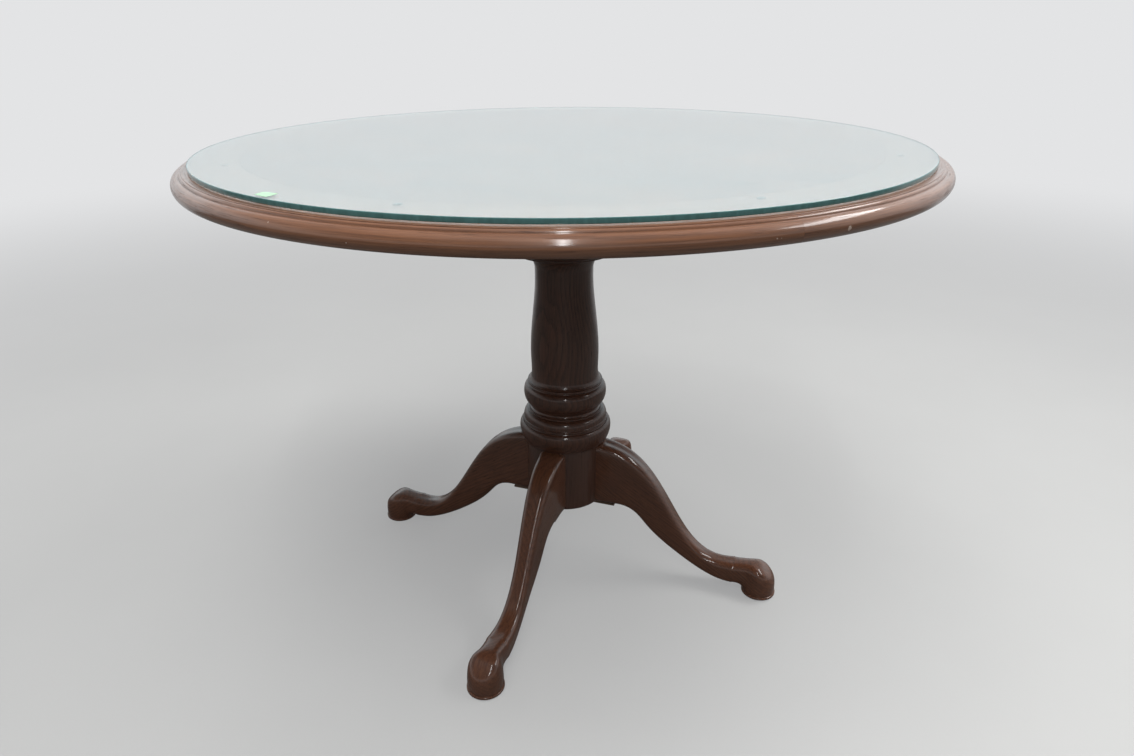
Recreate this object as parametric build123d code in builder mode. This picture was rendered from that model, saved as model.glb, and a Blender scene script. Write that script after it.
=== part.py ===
from build123d import *
from math import cos, degrees, radians, sin, sqrt
import os

# Round pedestal table: a moulded hardwood top under a loose glass cover, a turned column,
# and four cabriole legs with club feet.
# Millimetres. +Z is up, the floor is Z = 0, and the column stands on the Z axis.
# The legs lie along -Y (front), +X (right), +Y (back) and -X (left).

os.makedirs("parts", exist_ok=True)

# ---------------------------------------------------------------- driving dimensions
# Fits
glue_line = 0.1            # play between glued faces
slip_fit = 0.2             # play round a tenon, a tongue or a pin
pilot_play = 0.1           # play round the shank of a screw or a nail
thread_play = 0.05         # play between a nut and its rod
rod_play = 1.0             # play round the rod in its bore

# Wooden top
table_height = 733.0       # floor to the wooden surface
top_diameter = 1066.0
board_thickness = 22.0
board_count = 6
rim_width = 85.0           # moulded rim, measured along a radius
rim_thickness = 27.0
rim_ledge = 12.0           # how far the rim reaches under the boards
rim_joint_turn = 45.0      # the rim's butt joints lie between the legs

# Moulding on the rim, from the upper surface outwards
lip_set_back = 14.0        # outer edge to the end of the flat upper lip
quirk_depth = 1.0          # little step below the lip
bead_reach = 3.4
bead_drop = 3.0
nose_reach = 10.4          # bullnose, from its crown to the outer edge
nose_set_down = 4.4        # crown of the bullnose below the upper surface

# Loose tongues in the rim's butt joints
tongue_width = 44.0
tongue_length = 40.0
tongue_thickness = 6.0

# Glass cover
glass_margin = 22.0        # edge of the glass in from the edge of the top
glass_thickness = 6.0
glass_arris = 0.8
bumper_diameter = 10.0
bumper_thickness = 1.0
bumper_count = 8
bumper_set_in = 45.0       # edge of the glass to the middle of a bumper

# Battens and block under the top
batten_clearance = 16.0    # end of a batten to the ledge of the rim
batten_width = 46.0
batten_thickness = 28.0
batten_spacing = 430.0     # middle to middle
batten_end_rise = 18.0     # slope at each end
block_side = 270.0
block_thickness = 45.0
block_chamfer = 10.0

# Wood screws
screw_shank = 4.5
screw_head = 9.0
screw_head_height = 3.0
screw_bite = 16.0          # how far a screw runs into the next piece
block_screw_sink = 14.0
block_screw_inset = 32.0
batten_screw_sink = 6.0

# Column
shaft_foot_radius = 61.0
shaft_belly_radius = 55.9
shaft_belly_rise = 32.5    # foot of the shaft to its belly
shaft_waist_radius = 46.6
cove_width = 34.0
cove_height = 34.0
capital_radius = 90.0
capital_height = 20.0
collar_radius = 72.0
bell_radius = 98.0
bell_height = 52.0
bell_band = 14.0
fillet_width = 2.5         # the narrow flats between mouldings
shaft_tenon_radius = 25.0
shaft_tenon_length = 38.0
head_tenon_radius = 30.0
head_tenon_length = 24.0

# Turned base: bead, ring, neck, dome and bulb, from the top down
bead_radius = 62.8
bead_height = 4.0
groove_depth = 1.4
groove_height = 1.6
ring_radius = 69.4
ring_height = 36.0
ring_crown_rise = 20.0     # foot of the ring to its crown
ring_top_radius = 62.4
ring_foot_radius = 60.7
neck_radius = 57.0
neck_height = 8.8
dome_top_radius = 61.8
dome_radius = 70.8
dome_height = 14.2
thin_bead_radius = 72.0
thin_bead_height = 3.6
bulb_top_radius = 72.9
bulb_radius = 77.7
bulb_foot_radius = 70.7
bulb_height = 34.8
base_tenon_radius = 30.0
base_tenon_length = 28.0

# Hub
hub_radius = 66.8
hub_bottom = 131.0
hub_height = 115.0
hub_foot_round = 7.0

# Cabriole legs
foot_reach = 352.0         # table's axis to the middle of a foot
root_half_width = 22.5
root_set_down = 1.0        # top of the root below the top of the hub
root_seat = 32.0           # level seat under the root, out from the hub
knee_top = 227.0
knee_set_out = 54.0        # the hub's side out to the knee
shin_top = 131.5
shin_set_out = 132.0
calf_under = 98.0
calf_set_out = 84.0
shin_under = 56.5
calf_half_width = 17.0
ankle_half_width = 14.5
instep_half_width = 17.5
ankle_set_back = 70.0      # middle of the foot back to the ankle
ankle_top = 53.5
ankle_under = 16.0
crest_top = 57.5
crest_set_back = 20.0      # middle of the foot back to the crest of the instep
toe_top = 24.0             # where the crest line leaves the toe
leg_top_round = 10.0
leg_under_round = 11.0
heel_round = 8.0

# Club foot
foot_radius = 27.3
foot_belly_z = 24.0
foot_crown_radius = 17.5   # where the turned foot runs out at its top
foot_crown_rise = 6.0      # that place above the crest of the instep
pad_radius = 28.3
pad_height = 6.0
pad_arris = 1.0
pad_groove_radius = 26.0

# Sliding dovetails that hold the legs in the hub
dovetail_depth = 20.0
dovetail_neck = 15.0
dovetail_width = 23.0
dovetail_stop = 30.0       # wood left above the socket

# Nail-on glides
glide_radius = 11.0
glide_thickness = 2.0
nail_radius = 1.3
nail_length = 14.0

# Steel under the hub and along the axis
spider_thickness = 4.0
spider_arm_width = 30.0
spider_arm_overlap = 28.0  # the hub's side out to the end of an arm
spider_leg_screw_set_out = 15.0
spider_hub_screw_reach = 32.0
rod_radius = 6.0
rod_overrun = 4.0          # rod beyond each nut
nut_across_flats = 19.0
nut_height = 10.0
washer_radius = 14.0
washer_thickness = 2.5
nut_well_radius = 17.0
nut_well_headroom = 1.5

# ---------------------------------------------------------------- sizes that follow
top_radius = top_diameter / 2
glass_radius = top_radius - glass_margin
rim_inner_radius = top_radius - rim_width
field_radius = rim_inner_radius - slip_fit
board_underside = table_height - board_thickness
rim_underside = table_height - rim_thickness
board_pitch = 2 * field_radius / board_count
board_middles = [(i + 0.5) * board_pitch - field_radius for i in range(board_count)]
ledge_radius = rim_inner_radius - rim_ledge
tongue_middle_radius = (rim_inner_radius + top_radius - lip_set_back) / 2
tongue_middle_z = table_height - rim_thickness / 2
batten_underside = board_underside - batten_thickness
batten_outer_side = (batten_spacing + batten_width) / 2
batten_half_length = sqrt(ledge_radius ** 2 - batten_outer_side ** 2) - batten_clearance
block_underside = board_underside - block_thickness
block_screw_offset = block_side / 2 - block_screw_inset
block_screw_points = [(x * block_screw_offset, y * block_screw_offset)
                      for x in (-1, 1) for y in (-1, 1)]
batten_screw_points = [(x * batten_spacing / 2, y)
                       for x in (-1, 1) for y in board_middles
                       if abs(y) < batten_half_length - 2 * batten_end_rise]

leg_turns = {"right": 0, "back": 90, "left": 180, "front": 270}
leg_count = len(leg_turns)
hub_top = hub_bottom + hub_height
socket_top = hub_top - dovetail_stop
root_top = hub_top - root_set_down
knee_reach = hub_radius + knee_set_out
calf_reach = hub_radius + calf_set_out
shin_reach = hub_radius + shin_set_out
ankle_reach = foot_reach - ankle_set_back
spider_underside = hub_bottom - spider_thickness
spider_leg_screw_reach = hub_radius + spider_leg_screw_set_out
spider_span = 2 * (hub_radius + spider_arm_overlap)
rod_bore_radius = rod_radius + rod_play
nut_well_depth = washer_thickness + nut_height + rod_overrun + nut_well_headroom

# Heights of the mouldings: the base is stacked on the hub, the shaft's head hangs from the block.
bulb_high = hub_top + bulb_height
thin_low = bulb_high + groove_height
thin_high = thin_low + thin_bead_height
dome_low = thin_high + groove_height
dome_high = dome_low + dome_height
neck_low = dome_high + fillet_width
ring_low = neck_low + neck_height
ring_high = ring_low + ring_height
bead_low = ring_high + groove_height
base_top = bead_low + bead_height
bell_top = block_underside - bell_band
bell_foot = bell_top - bell_height
capital_top = bell_foot - fillet_width
capital_foot = capital_top - capital_height
shaft_waist_z = capital_foot - fillet_width - cove_height


def save(piece, name):
    """Label a finished piece and write it to its own file."""
    piece.label = name
    export_step(piece, f"parts/{name}.step")


# ---------------------------------------------------------------- glass cover
with BuildPart() as glass_top:
    with BuildSketch(Plane.XY.offset(table_height + bumper_thickness)):
        Circle(glass_radius)
    extrude(amount=glass_thickness)
    chamfer(glass_top.edges().filter_by(GeomType.CIRCLE), glass_arris)
save(glass_top.part, "glass_top")

with BuildPart() as glass_bumpers:
    with BuildSketch(Plane.XY.offset(table_height)):
        with PolarLocations(glass_radius - bumper_set_in, bumper_count):
            Circle(bumper_diameter / 2)
    extrude(amount=bumper_thickness)
save(glass_bumpers.part, "glass_bumpers")


# ---------------------------------------------------------------- boards of the top
for index, middle in enumerate(board_middles):
    screws_here = [point for point in block_screw_points + batten_screw_points
                   if abs(point[1] - middle) < board_pitch / 2]
    with BuildPart() as top_board:
        with BuildSketch(Plane.XY.offset(board_underside)):
            Circle(field_radius)
            with Locations((0, middle)):
                Rectangle(top_diameter, board_pitch - glue_line, mode=Mode.INTERSECT)
        extrude(amount=board_thickness)
        if screws_here:
            with BuildSketch(Plane.XY.offset(board_underside)):
                with Locations(*screws_here):
                    Circle(screw_shank / 2 + pilot_play)
            extrude(amount=screw_bite + pilot_play, mode=Mode.SUBTRACT)
    save(top_board.part, f"top_board_{index + 1}")


# ---------------------------------------------------------------- moulded rim
# One quarter is revolved from the X axis to the Y axis, then turned to its place.
joint_gap_angle = degrees(glue_line / rim_inner_radius)
nose_crown_radius = top_radius - nose_reach
nose_half_height = (rim_thickness - nose_set_down) / 2

with BuildPart() as rim_quarter:
    with BuildSketch(Plane.XZ):
        with BuildLine():
            lip_end = (top_radius - lip_set_back, table_height)
            bead_top = (lip_end[0], table_height - quirk_depth)
            bead_foot = (lip_end[0] + bead_reach, bead_top[1] - bead_drop)
            nose_top = (nose_crown_radius, table_height - nose_set_down)
            nose_side = (top_radius, nose_top[1] - nose_half_height)
            nose_foot = (nose_crown_radius, rim_underside)
            Line((rim_inner_radius, table_height), lip_end)
            Line(lip_end, bead_top)
            EllipticalCenterArc((bead_top[0], bead_foot[1]), bead_reach, bead_drop, 0, arc_size=90)
            Line(bead_foot, nose_top)
            EllipticalCenterArc((nose_crown_radius, nose_side[1]), nose_reach, nose_half_height,
                                -90, arc_size=180)
            Polyline(nose_foot, (ledge_radius, rim_underside), (ledge_radius, board_underside),
                     (rim_inner_radius, board_underside), (rim_inner_radius, table_height))
        make_face()
    revolve(axis=Axis.Z, revolution_arc=90 - joint_gap_angle)
    with Locations((tongue_middle_radius, 0, tongue_middle_z)):
        Box(tongue_width + slip_fit, tongue_length + slip_fit, tongue_thickness + slip_fit,
            mode=Mode.SUBTRACT)
    with Locations((0, tongue_middle_radius, tongue_middle_z)):
        Box(tongue_length + slip_fit, tongue_width + slip_fit, tongue_thickness + slip_fit,
            mode=Mode.SUBTRACT)

for side, turn in leg_turns.items():
    save(rim_quarter.part.rotate(Axis.Z, turn - rim_joint_turn), f"rim_{side}")

with BuildPart() as rim_tongues:
    with BuildSketch(Plane.XY.offset(tongue_middle_z - tongue_thickness / 2)):
        with PolarLocations(tongue_middle_radius, leg_count, start_angle=rim_joint_turn):
            Rectangle(tongue_width, tongue_length)
    extrude(amount=tongue_thickness)
save(rim_tongues.part, "rim_tongues")


# ---------------------------------------------------------------- battens and block
with BuildPart() as batten:
    with BuildSketch(Plane.YZ.offset(-batten_width / 2)):
        with BuildLine():
            Polyline((-batten_half_length, board_underside), (batten_half_length, board_underside),
                     (batten_half_length - batten_end_rise, batten_underside),
                     (batten_end_rise - batten_half_length, batten_underside), close=True)
        make_face()
    extrude(amount=batten_width)
    with BuildSketch(Plane.XY.offset(batten_underside)):
        with Locations(*[(0, y) for x, y in batten_screw_points if x > 0]):
            Circle(screw_shank / 2 + pilot_play)
    extrude(amount=batten_thickness, mode=Mode.SUBTRACT)
    with BuildSketch(Plane.XY.offset(batten_underside)):
        with Locations(*[(0, y) for x, y in batten_screw_points if x > 0]):
            Circle(screw_head / 2 + pilot_play)
    extrude(amount=batten_screw_sink, mode=Mode.SUBTRACT)

for side, sign in (("left", -1), ("right", 1)):
    save(batten.part.translate((sign * batten_spacing / 2, 0, 0)), f"batten_{side}")

with BuildPart() as mounting_block:
    with BuildSketch(Plane.XY.offset(block_underside)):
        Rectangle(block_side, block_side)
    extrude(amount=block_thickness)
    chamfer(mounting_block.edges().group_by(Axis.Z)[0], block_chamfer)
    with BuildSketch(Plane.XY.offset(block_underside)):
        Circle(head_tenon_radius + slip_fit)
    extrude(amount=head_tenon_length + slip_fit, mode=Mode.SUBTRACT)
    with BuildSketch(Plane.XY.offset(block_underside)):
        Circle(rod_bore_radius)
        with Locations(*block_screw_points):
            Circle(screw_shank / 2 + pilot_play)
    extrude(amount=block_thickness, mode=Mode.SUBTRACT)
    with BuildSketch(Plane.XY.offset(block_underside)):
        with Locations(*block_screw_points):
            Circle(screw_head / 2 + pilot_play)
    extrude(amount=block_screw_sink, mode=Mode.SUBTRACT)
    with BuildSketch(Plane.XY.offset(board_underside)):
        Circle(nut_well_radius)
    extrude(amount=-nut_well_depth, mode=Mode.SUBTRACT)
save(mounting_block.part, "mounting_block")


def wood_screws(points, head_z, tip_z):
    """Screws that stand head down at each point: a head below and a plain shank above."""
    with BuildPart() as screws:
        with BuildSketch(Plane.XY.offset(head_z)):
            with Locations(*points):
                Circle(screw_head / 2)
        extrude(amount=screw_head_height)
        with BuildSketch(Plane.XY.offset(head_z + screw_head_height)):
            with Locations(*points):
                Circle(screw_shank / 2)
        extrude(amount=tip_z - head_z - screw_head_height)
    return screws.part


board_bite_z = board_underside + screw_bite
save(wood_screws(block_screw_points, block_underside + block_screw_sink - screw_head_height,
                 board_bite_z), "block_screws")
save(wood_screws(batten_screw_points, batten_underside + batten_screw_sink - screw_head_height,
                 board_bite_z), "batten_screws")


# ---------------------------------------------------------------- column shaft
with BuildPart() as column_shaft:
    with BuildSketch(Plane.XZ):
        with BuildLine():
            foot = (shaft_foot_radius, base_top)
            belly = (shaft_belly_radius, base_top + shaft_belly_rise)
            waist = (shaft_waist_radius, shaft_waist_z)
            cove_end = (shaft_waist_radius + cove_width, shaft_waist_z + cove_height)
            capital_waist = cove_end[0] + fillet_width / 2
            Spline(foot, belly, waist, tangents=((-1, 0.9), (0, 1)))
            Spline(waist, cove_end, tangents=((0, 1), (1, 0)))
            Polyline(cove_end, (capital_waist, cove_end[1]), (capital_waist, capital_foot))
            EllipticalCenterArc((capital_waist, (capital_foot + capital_top) / 2),
                                capital_radius - capital_waist, capital_height / 2,
                                -90, arc_size=180)
            Polyline((capital_waist, capital_top), (collar_radius, capital_top),
                     (collar_radius, bell_foot))
            Spline((collar_radius, bell_foot), (bell_radius, bell_top),
                   tangents=((0, 1), (1, 0.45)))
            Polyline((bell_radius, bell_top), (bell_radius, block_underside),
                     (head_tenon_radius, block_underside),
                     (head_tenon_radius, block_underside + head_tenon_length),
                     (rod_bore_radius, block_underside + head_tenon_length),
                     (rod_bore_radius, base_top - shaft_tenon_length),
                     (shaft_tenon_radius, base_top - shaft_tenon_length),
                     (shaft_tenon_radius, base_top), foot)
        make_face()
    revolve(axis=Axis.Z)
save(column_shaft.part, "column_shaft")


# ---------------------------------------------------------------- turned base
# Bead, ring, neck, stepped dome and bulb are one turning. Its tenon stands in the hub, and
# its bore takes the tenon of the shaft.
with BuildPart() as base_turning:
    with BuildSketch(Plane.XZ):
        with BuildLine():
            bore_end = base_top - shaft_tenon_length - slip_fit
            Polyline((rod_bore_radius, bore_end), (shaft_tenon_radius + slip_fit, bore_end),
                     (shaft_tenon_radius + slip_fit, base_top),
                     (bead_radius - groove_depth, base_top),
                     (bead_radius, base_top - bead_height / 2),
                     (bead_radius - groove_depth, bead_low), (ring_top_radius, ring_high))
            Spline((ring_top_radius, ring_high), (ring_radius, ring_low + ring_crown_rise),
                   (ring_foot_radius, ring_low), tangents=((1, -0.7), (-1, -1)))
            Spline((ring_foot_radius, ring_low), (neck_radius, ring_low - neck_height / 2),
                   (neck_radius + fillet_width, neck_low), tangents=((-0.8, -1), (1, -0.6)))
            Polyline((neck_radius + fillet_width, neck_low), (dome_top_radius, neck_low),
                     (dome_top_radius, dome_high))
            Spline((dome_top_radius, dome_high), (dome_radius, dome_low),
                   tangents=((1, -0.35), (0.1, -1)))
            Polyline((dome_radius, dome_low), (dome_radius - groove_depth, dome_low),
                     (thin_bead_radius - groove_depth, thin_high),
                     (thin_bead_radius, (thin_high + thin_low) / 2),
                     (thin_bead_radius - groove_depth, thin_low),
                     (bulb_top_radius - groove_depth, bulb_high), (bulb_top_radius, bulb_high))
            Spline((bulb_top_radius, bulb_high), (bulb_radius, hub_top + bulb_height / 2),
                   (bulb_foot_radius, hub_top), tangents=((1, -0.9), (-0.7, -1)))
            Polyline((bulb_foot_radius, hub_top), (base_tenon_radius, hub_top),
                     (base_tenon_radius, hub_top - base_tenon_length),
                     (rod_bore_radius, hub_top - base_tenon_length),
                     (rod_bore_radius, bore_end))
        make_face()
    revolve(axis=Axis.Z)
save(base_turning.part, "base_turning")


# ---------------------------------------------------------------- hub with its sockets
def dovetail_outline(play):
    """Half-and-half outline of a dovetail on +X: its neck at the hub's side, its wide end inside."""
    neck = dovetail_neck / 2 + play
    wide = dovetail_width / 2 + play
    inner = hub_radius - dovetail_depth - play
    outer = hub_radius + dovetail_depth / 2
    return [(inner, -wide), (hub_radius, -neck), (outer, -neck),
            (outer, neck), (hub_radius, neck), (inner, wide)]


with BuildPart() as leg_hub:
    with BuildSketch(Plane.XY.offset(hub_bottom)):
        Circle(hub_radius)
    extrude(amount=hub_top - hub_bottom)
    fillet(leg_hub.edges().sort_by(Axis.Z)[0], hub_foot_round)
    with BuildSketch(Plane.XY.offset(hub_bottom)):
        with PolarLocations(0, leg_count):
            Polygon(*dovetail_outline(slip_fit), align=None)
    extrude(amount=socket_top - hub_bottom, mode=Mode.SUBTRACT)
    with BuildSketch(Plane.XY.offset(hub_top)):
        Circle(base_tenon_radius + slip_fit)
    extrude(amount=-base_tenon_length - slip_fit, mode=Mode.SUBTRACT)
    with BuildSketch(Plane.XY.offset(hub_bottom)):
        Circle(rod_bore_radius)
    extrude(amount=hub_top - hub_bottom, mode=Mode.SUBTRACT)
    with BuildSketch(Plane.XY.offset(hub_bottom)):
        with PolarLocations(spider_hub_screw_reach, leg_count):
            Circle(screw_shank / 2 + pilot_play)
    extrude(amount=screw_bite + pilot_play, mode=Mode.SUBTRACT)
save(leg_hub.part, "leg_hub")


# ---------------------------------------------------------------- cabriole legs
# The leg is sawn twice from one blank, its plan and then its side, before its edges are rounded.
# The club foot is turned about its own upright axis, and the crest line cuts leg and foot alike.
saw_depth = foot_radius + 10
beyond_toe = foot_reach + foot_radius + 8

with BuildPart() as leg:
    with BuildSketch(Plane.XY):
        with BuildLine():
            flank = Spline((hub_radius - dovetail_depth, root_half_width),
                           (calf_reach, calf_half_width), (ankle_reach, ankle_half_width),
                           (foot_reach, instep_half_width), tangents=((1, 0), (1, 0)))
            other_flank = mirror(flank, about=Plane.XZ)
            Line(flank @ 0, other_flank @ 0)
            Line(flank @ 1, other_flank @ 1)
        make_face()
    extrude(amount=root_top)
    with BuildSketch(Plane.XZ.offset(-saw_depth)):
        with BuildLine():
            seat = Line((0, hub_bottom), (hub_radius + root_seat, hub_bottom))
            under = Spline(seat @ 1, (calf_reach, calf_under), (shin_reach, shin_under),
                           (ankle_reach, ankle_under), (foot_reach, ankle_under),
                           tangents=((1, 0), (1, 0)))
            Polyline(under @ 1, (foot_reach, -root_top), (0, -root_top), seat @ 0)
        make_face()
    extrude(amount=2 * saw_depth, mode=Mode.SUBTRACT)
    under_face = leg.faces().sort_by(Axis.Z)[0]
    fillet(under_face.edges().sort_by(SortBy.LENGTH)[-2:], leg_under_round)
    with BuildSketch(Plane.XZ):
        with BuildLine():
            pad_low = glide_thickness
            Polyline((foot_reach, pad_low),
                     (foot_reach + pad_radius - pad_arris, pad_low),
                     (foot_reach + pad_radius, pad_low + pad_arris),
                     (foot_reach + pad_radius, pad_height - pad_arris),
                     (foot_reach + pad_groove_radius, pad_height))
            Spline((foot_reach + pad_groove_radius, pad_height),
                   (foot_reach + foot_radius, foot_belly_z),
                   (foot_reach + foot_crown_radius, crest_top + foot_crown_rise),
                   tangents=((1, 1.5), (-1, 1.2)))
            Polyline((foot_reach + foot_crown_radius, crest_top + foot_crown_rise),
                     (foot_reach, crest_top + foot_crown_rise), (foot_reach, pad_low))
        make_face()
    revolve(axis=Axis((foot_reach, 0, 0), (0, 0, 1)))
    heel_edges = leg.edges(Select.NEW)
    fillet(heel_edges.filter_by_position(Axis.Z, 0, crest_top), heel_round)
    with BuildSketch(Plane.XZ.offset(-saw_depth)):
        with BuildLine():
            top = Spline((hub_radius - dovetail_depth, root_top), (knee_reach, knee_top),
                         (shin_reach, shin_top), (ankle_reach, ankle_top),
                         (foot_reach - crest_set_back, crest_top), (beyond_toe, toe_top),
                         tangents=((1, 0), (1, -1.2)))
            Polyline(top @ 1, (beyond_toe, 2 * root_top), (0, 2 * root_top), (0, root_top), top @ 0)
        make_face()
    extrude(amount=2 * saw_depth, mode=Mode.SUBTRACT)
    crest_face = leg.faces(Select.LAST).sort_by(Axis.Z)[-1]
    crest_edges = crest_face.edges().sort_by(Axis.X)[1:]
    fillet(crest_edges, leg_top_round)
    with BuildSketch(Plane.XY):
        Circle(hub_radius + glue_line)
    extrude(amount=2 * root_top, mode=Mode.SUBTRACT)
    with BuildSketch(Plane.XY.offset(hub_bottom)):
        Polygon(*dovetail_outline(0), align=None)
    extrude(amount=socket_top - hub_bottom - slip_fit)
    with BuildSketch(Plane.XY.offset(hub_bottom)):
        with Locations((spider_leg_screw_reach, 0)):
            Circle(screw_shank / 2 + pilot_play)
    extrude(amount=screw_bite + pilot_play, mode=Mode.SUBTRACT)
    with BuildSketch(Plane.XY.offset(pad_low)):
        with Locations((foot_reach, 0)):
            Circle(nail_radius + pilot_play)
    extrude(amount=nail_length + pilot_play, mode=Mode.SUBTRACT)

for side, turn in leg_turns.items():
    save(leg.part.rotate(Axis.Z, turn), f"leg_{side}")

with BuildPart() as foot_glides:
    with BuildSketch(Plane.XY):
        with PolarLocations(foot_reach, leg_count):
            Circle(glide_radius)
    extrude(amount=glide_thickness)
    with BuildSketch(Plane.XY.offset(glide_thickness)):
        with PolarLocations(foot_reach, leg_count):
            Circle(nail_radius)
    extrude(amount=nail_length)
save(foot_glides.part, "foot_glides")


# ---------------------------------------------------------------- steel plate, rod and nuts
spider_screw_points = [(reach * cos(radians(turn)), reach * sin(radians(turn)))
                       for turn in leg_turns.values()
                       for reach in (spider_hub_screw_reach, spider_leg_screw_reach)]

with BuildPart() as spider_plate:
    with BuildSketch(Plane.XY.offset(spider_underside)):
        Rectangle(spider_span, spider_arm_width)
        Rectangle(spider_arm_width, spider_span)
        Circle(spider_arm_width)
        Circle(rod_radius + slip_fit, mode=Mode.SUBTRACT)
        with Locations(*spider_screw_points):
            Circle(screw_shank / 2 + pilot_play, mode=Mode.SUBTRACT)
    extrude(amount=spider_thickness)
save(spider_plate.part, "spider_plate")
save(wood_screws(spider_screw_points, spider_underside - screw_head_height,
                 hub_bottom + screw_bite), "spider_screws")

lower_washer_z = spider_underside - washer_thickness
lower_nut_z = lower_washer_z - nut_height
upper_washer_z = board_underside - nut_well_depth
upper_nut_z = upper_washer_z + washer_thickness

with BuildPart() as tie_rod:
    with BuildSketch(Plane.XY.offset(lower_nut_z - rod_overrun)):
        Circle(rod_radius)
    extrude(amount=upper_nut_z + nut_height - lower_nut_z + 2 * rod_overrun)
save(tie_rod.part, "tie_rod")

with BuildPart() as rod_nuts:
    for nut_z in (lower_nut_z, upper_nut_z):
        with BuildSketch(Plane.XY.offset(nut_z)):
            RegularPolygon(nut_across_flats / 2, 6, major_radius=False)
            Circle(rod_radius + thread_play, mode=Mode.SUBTRACT)
        extrude(amount=nut_height)
save(rod_nuts.part, "rod_nuts")

with BuildPart() as rod_washers:
    for washer_z in (lower_washer_z, upper_washer_z):
        with BuildSketch(Plane.XY.offset(washer_z)):
            Circle(washer_radius)
            Circle(rod_radius + slip_fit, mode=Mode.SUBTRACT)
        extrude(amount=washer_thickness)
save(rod_washers.part, "rod_washers")
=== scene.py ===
from math import cos, exp, pi, radians, sin, sqrt, tan

import bmesh
import bpy
from mathutils import Euler, Matrix, Vector


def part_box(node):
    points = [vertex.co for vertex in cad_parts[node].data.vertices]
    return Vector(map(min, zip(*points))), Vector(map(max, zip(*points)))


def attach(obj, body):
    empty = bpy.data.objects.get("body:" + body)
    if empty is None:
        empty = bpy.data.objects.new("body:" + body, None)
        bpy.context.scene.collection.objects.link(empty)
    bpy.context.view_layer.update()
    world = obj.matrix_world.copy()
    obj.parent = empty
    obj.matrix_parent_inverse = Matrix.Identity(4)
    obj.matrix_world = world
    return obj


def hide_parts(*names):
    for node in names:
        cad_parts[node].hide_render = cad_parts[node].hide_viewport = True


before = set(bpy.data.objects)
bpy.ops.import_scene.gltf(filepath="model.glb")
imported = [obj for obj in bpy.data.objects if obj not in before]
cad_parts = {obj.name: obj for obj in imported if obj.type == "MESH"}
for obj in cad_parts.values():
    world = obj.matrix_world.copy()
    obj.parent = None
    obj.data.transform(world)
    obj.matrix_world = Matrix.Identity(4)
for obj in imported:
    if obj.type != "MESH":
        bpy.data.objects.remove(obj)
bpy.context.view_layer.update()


# ---------------------------------------------------------------- studio
# A plain pale floor that fades into a pale surround, soft light from a window on the right
# and from the ceiling, and narrow lamps that draw the highlights along the polished wood.
def node(tree, kind, inputs=None, **settings):
    """Add a shader node; inputs holds plain values or sockets to link."""
    made = tree.nodes.new("ShaderNode" + kind)
    for key, value in settings.items():
        setattr(made, key, value)
    for key, value in (inputs or {}).items():
        if isinstance(value, bpy.types.NodeSocket):
            tree.links.new(value, made.inputs[key])
        else:
            made.inputs[key].default_value = value
    return made


def levels(tree, value, low, high, to_low=0.0, to_high=1.0, smooth=False):
    """Stretch a value from one range to another, held at both ends."""
    return node(tree, "MapRange", {"Value": value, "From Min": low, "From Max": high,
                                   "To Min": to_low, "To Max": to_high},
                interpolation_type="SMOOTHSTEP" if smooth else "LINEAR").outputs["Result"]


def maths(tree, operation, first, second=0.0):
    return node(tree, "Math", {0: first, 1: second}, operation=operation).outputs[0]


def mixed_colour(tree, share, first, second):
    return node(tree, "Mix", {0: share, 6: first, 7: second}, data_type="RGBA").outputs[2]


def scaled(tree, colour, factor):
    return node(tree, "VectorMath", {0: colour, "Scale": factor}, operation="SCALE").outputs[0]


def noise(tree, place, stretch, detail=2.0, roughness=0.6):
    """Noise with its own number of cells per metre along each axis."""
    stretched = node(tree, "VectorMath", {0: place, 1: stretch}, operation="MULTIPLY").outputs[0]
    return node(tree, "TexNoise", {"Vector": stretched, "Scale": 1.0, "Detail": detail,
                                   "Roughness": roughness}).outputs


def bumped(tree, height, strength, distance):
    """A normal from a height pattern; distance is the depth of the relief in metres."""
    return node(tree, "Bump", {"Height": height, "Strength": strength,
                               "Distance": distance}).outputs[0]


def dot(tree, first, second):
    return node(tree, "VectorMath", {0: first, 1: second}, operation="DOT_PRODUCT").outputs["Value"]


def object_place(tree):
    return node(tree, "TexCoord").outputs["Object"]


def new_material(name):
    """An empty node material: the material, its tree and the surface socket of its output."""
    material = bpy.data.materials.new(name)
    material.use_nodes = True
    tree = material.node_tree
    tree.nodes.clear()
    return material, tree, node(tree, "OutputMaterial").inputs["Surface"]


surround_colour = (0.77, 0.775, 0.785, 1)
floor_colour = (0.34, 0.34, 0.33)
floor_radius = 9.0
fade_start, fade_end, near_share = 0.9, 4.8, 0.36
wall_side = (-0.31, 0.95, 0)
wall_start, wall_full, wall_share = 0.8, 1.5, 0.7

# To the eye the floor is pale. Light and gloss find it darker, so that it doesn't wash out
# the dark wood, and gloss that meets it well behind the table sees the wall instead.
floor_bounce = 0.35
material, tree, surface = new_material("pale floor")
place = object_place(tree)
grit = noise(tree, place, (260, 260, 260), 3.0)["Fac"]
cloud = noise(tree, place, (1.7, 1.7, 1.7), 4.0)["Fac"]
tone = maths(tree, "MULTIPLY", levels(tree, cloud, 0.3, 0.7, 0.96, 1.03),
             levels(tree, grit, 0.3, 0.7, 0.985, 1.015))
paths = node(tree, "LightPath").outputs
seen = maths(tree, "MAXIMUM", paths["Is Camera Ray"], paths["Is Transmission Ray"])
tone = maths(tree, "MULTIPLY", tone, levels(tree, seen, 0, 1, floor_bounce, 1.0))
ground = node(tree, "BsdfPrincipled", {
    "Base Color": scaled(tree, floor_colour, tone), "Roughness": 0.75,
    "Normal": bumped(tree, grit, 0.15, 0.0005)})
reach = node(tree, "VectorMath", {0: place}, operation="LENGTH").outputs["Value"]
mirrored = maths(tree, "MULTIPLY", paths["Is Glossy Ray"],
                 levels(tree, dot(tree, place, wall_side), wall_start, wall_full, 0.0, wall_share,
                        smooth=True))
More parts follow.
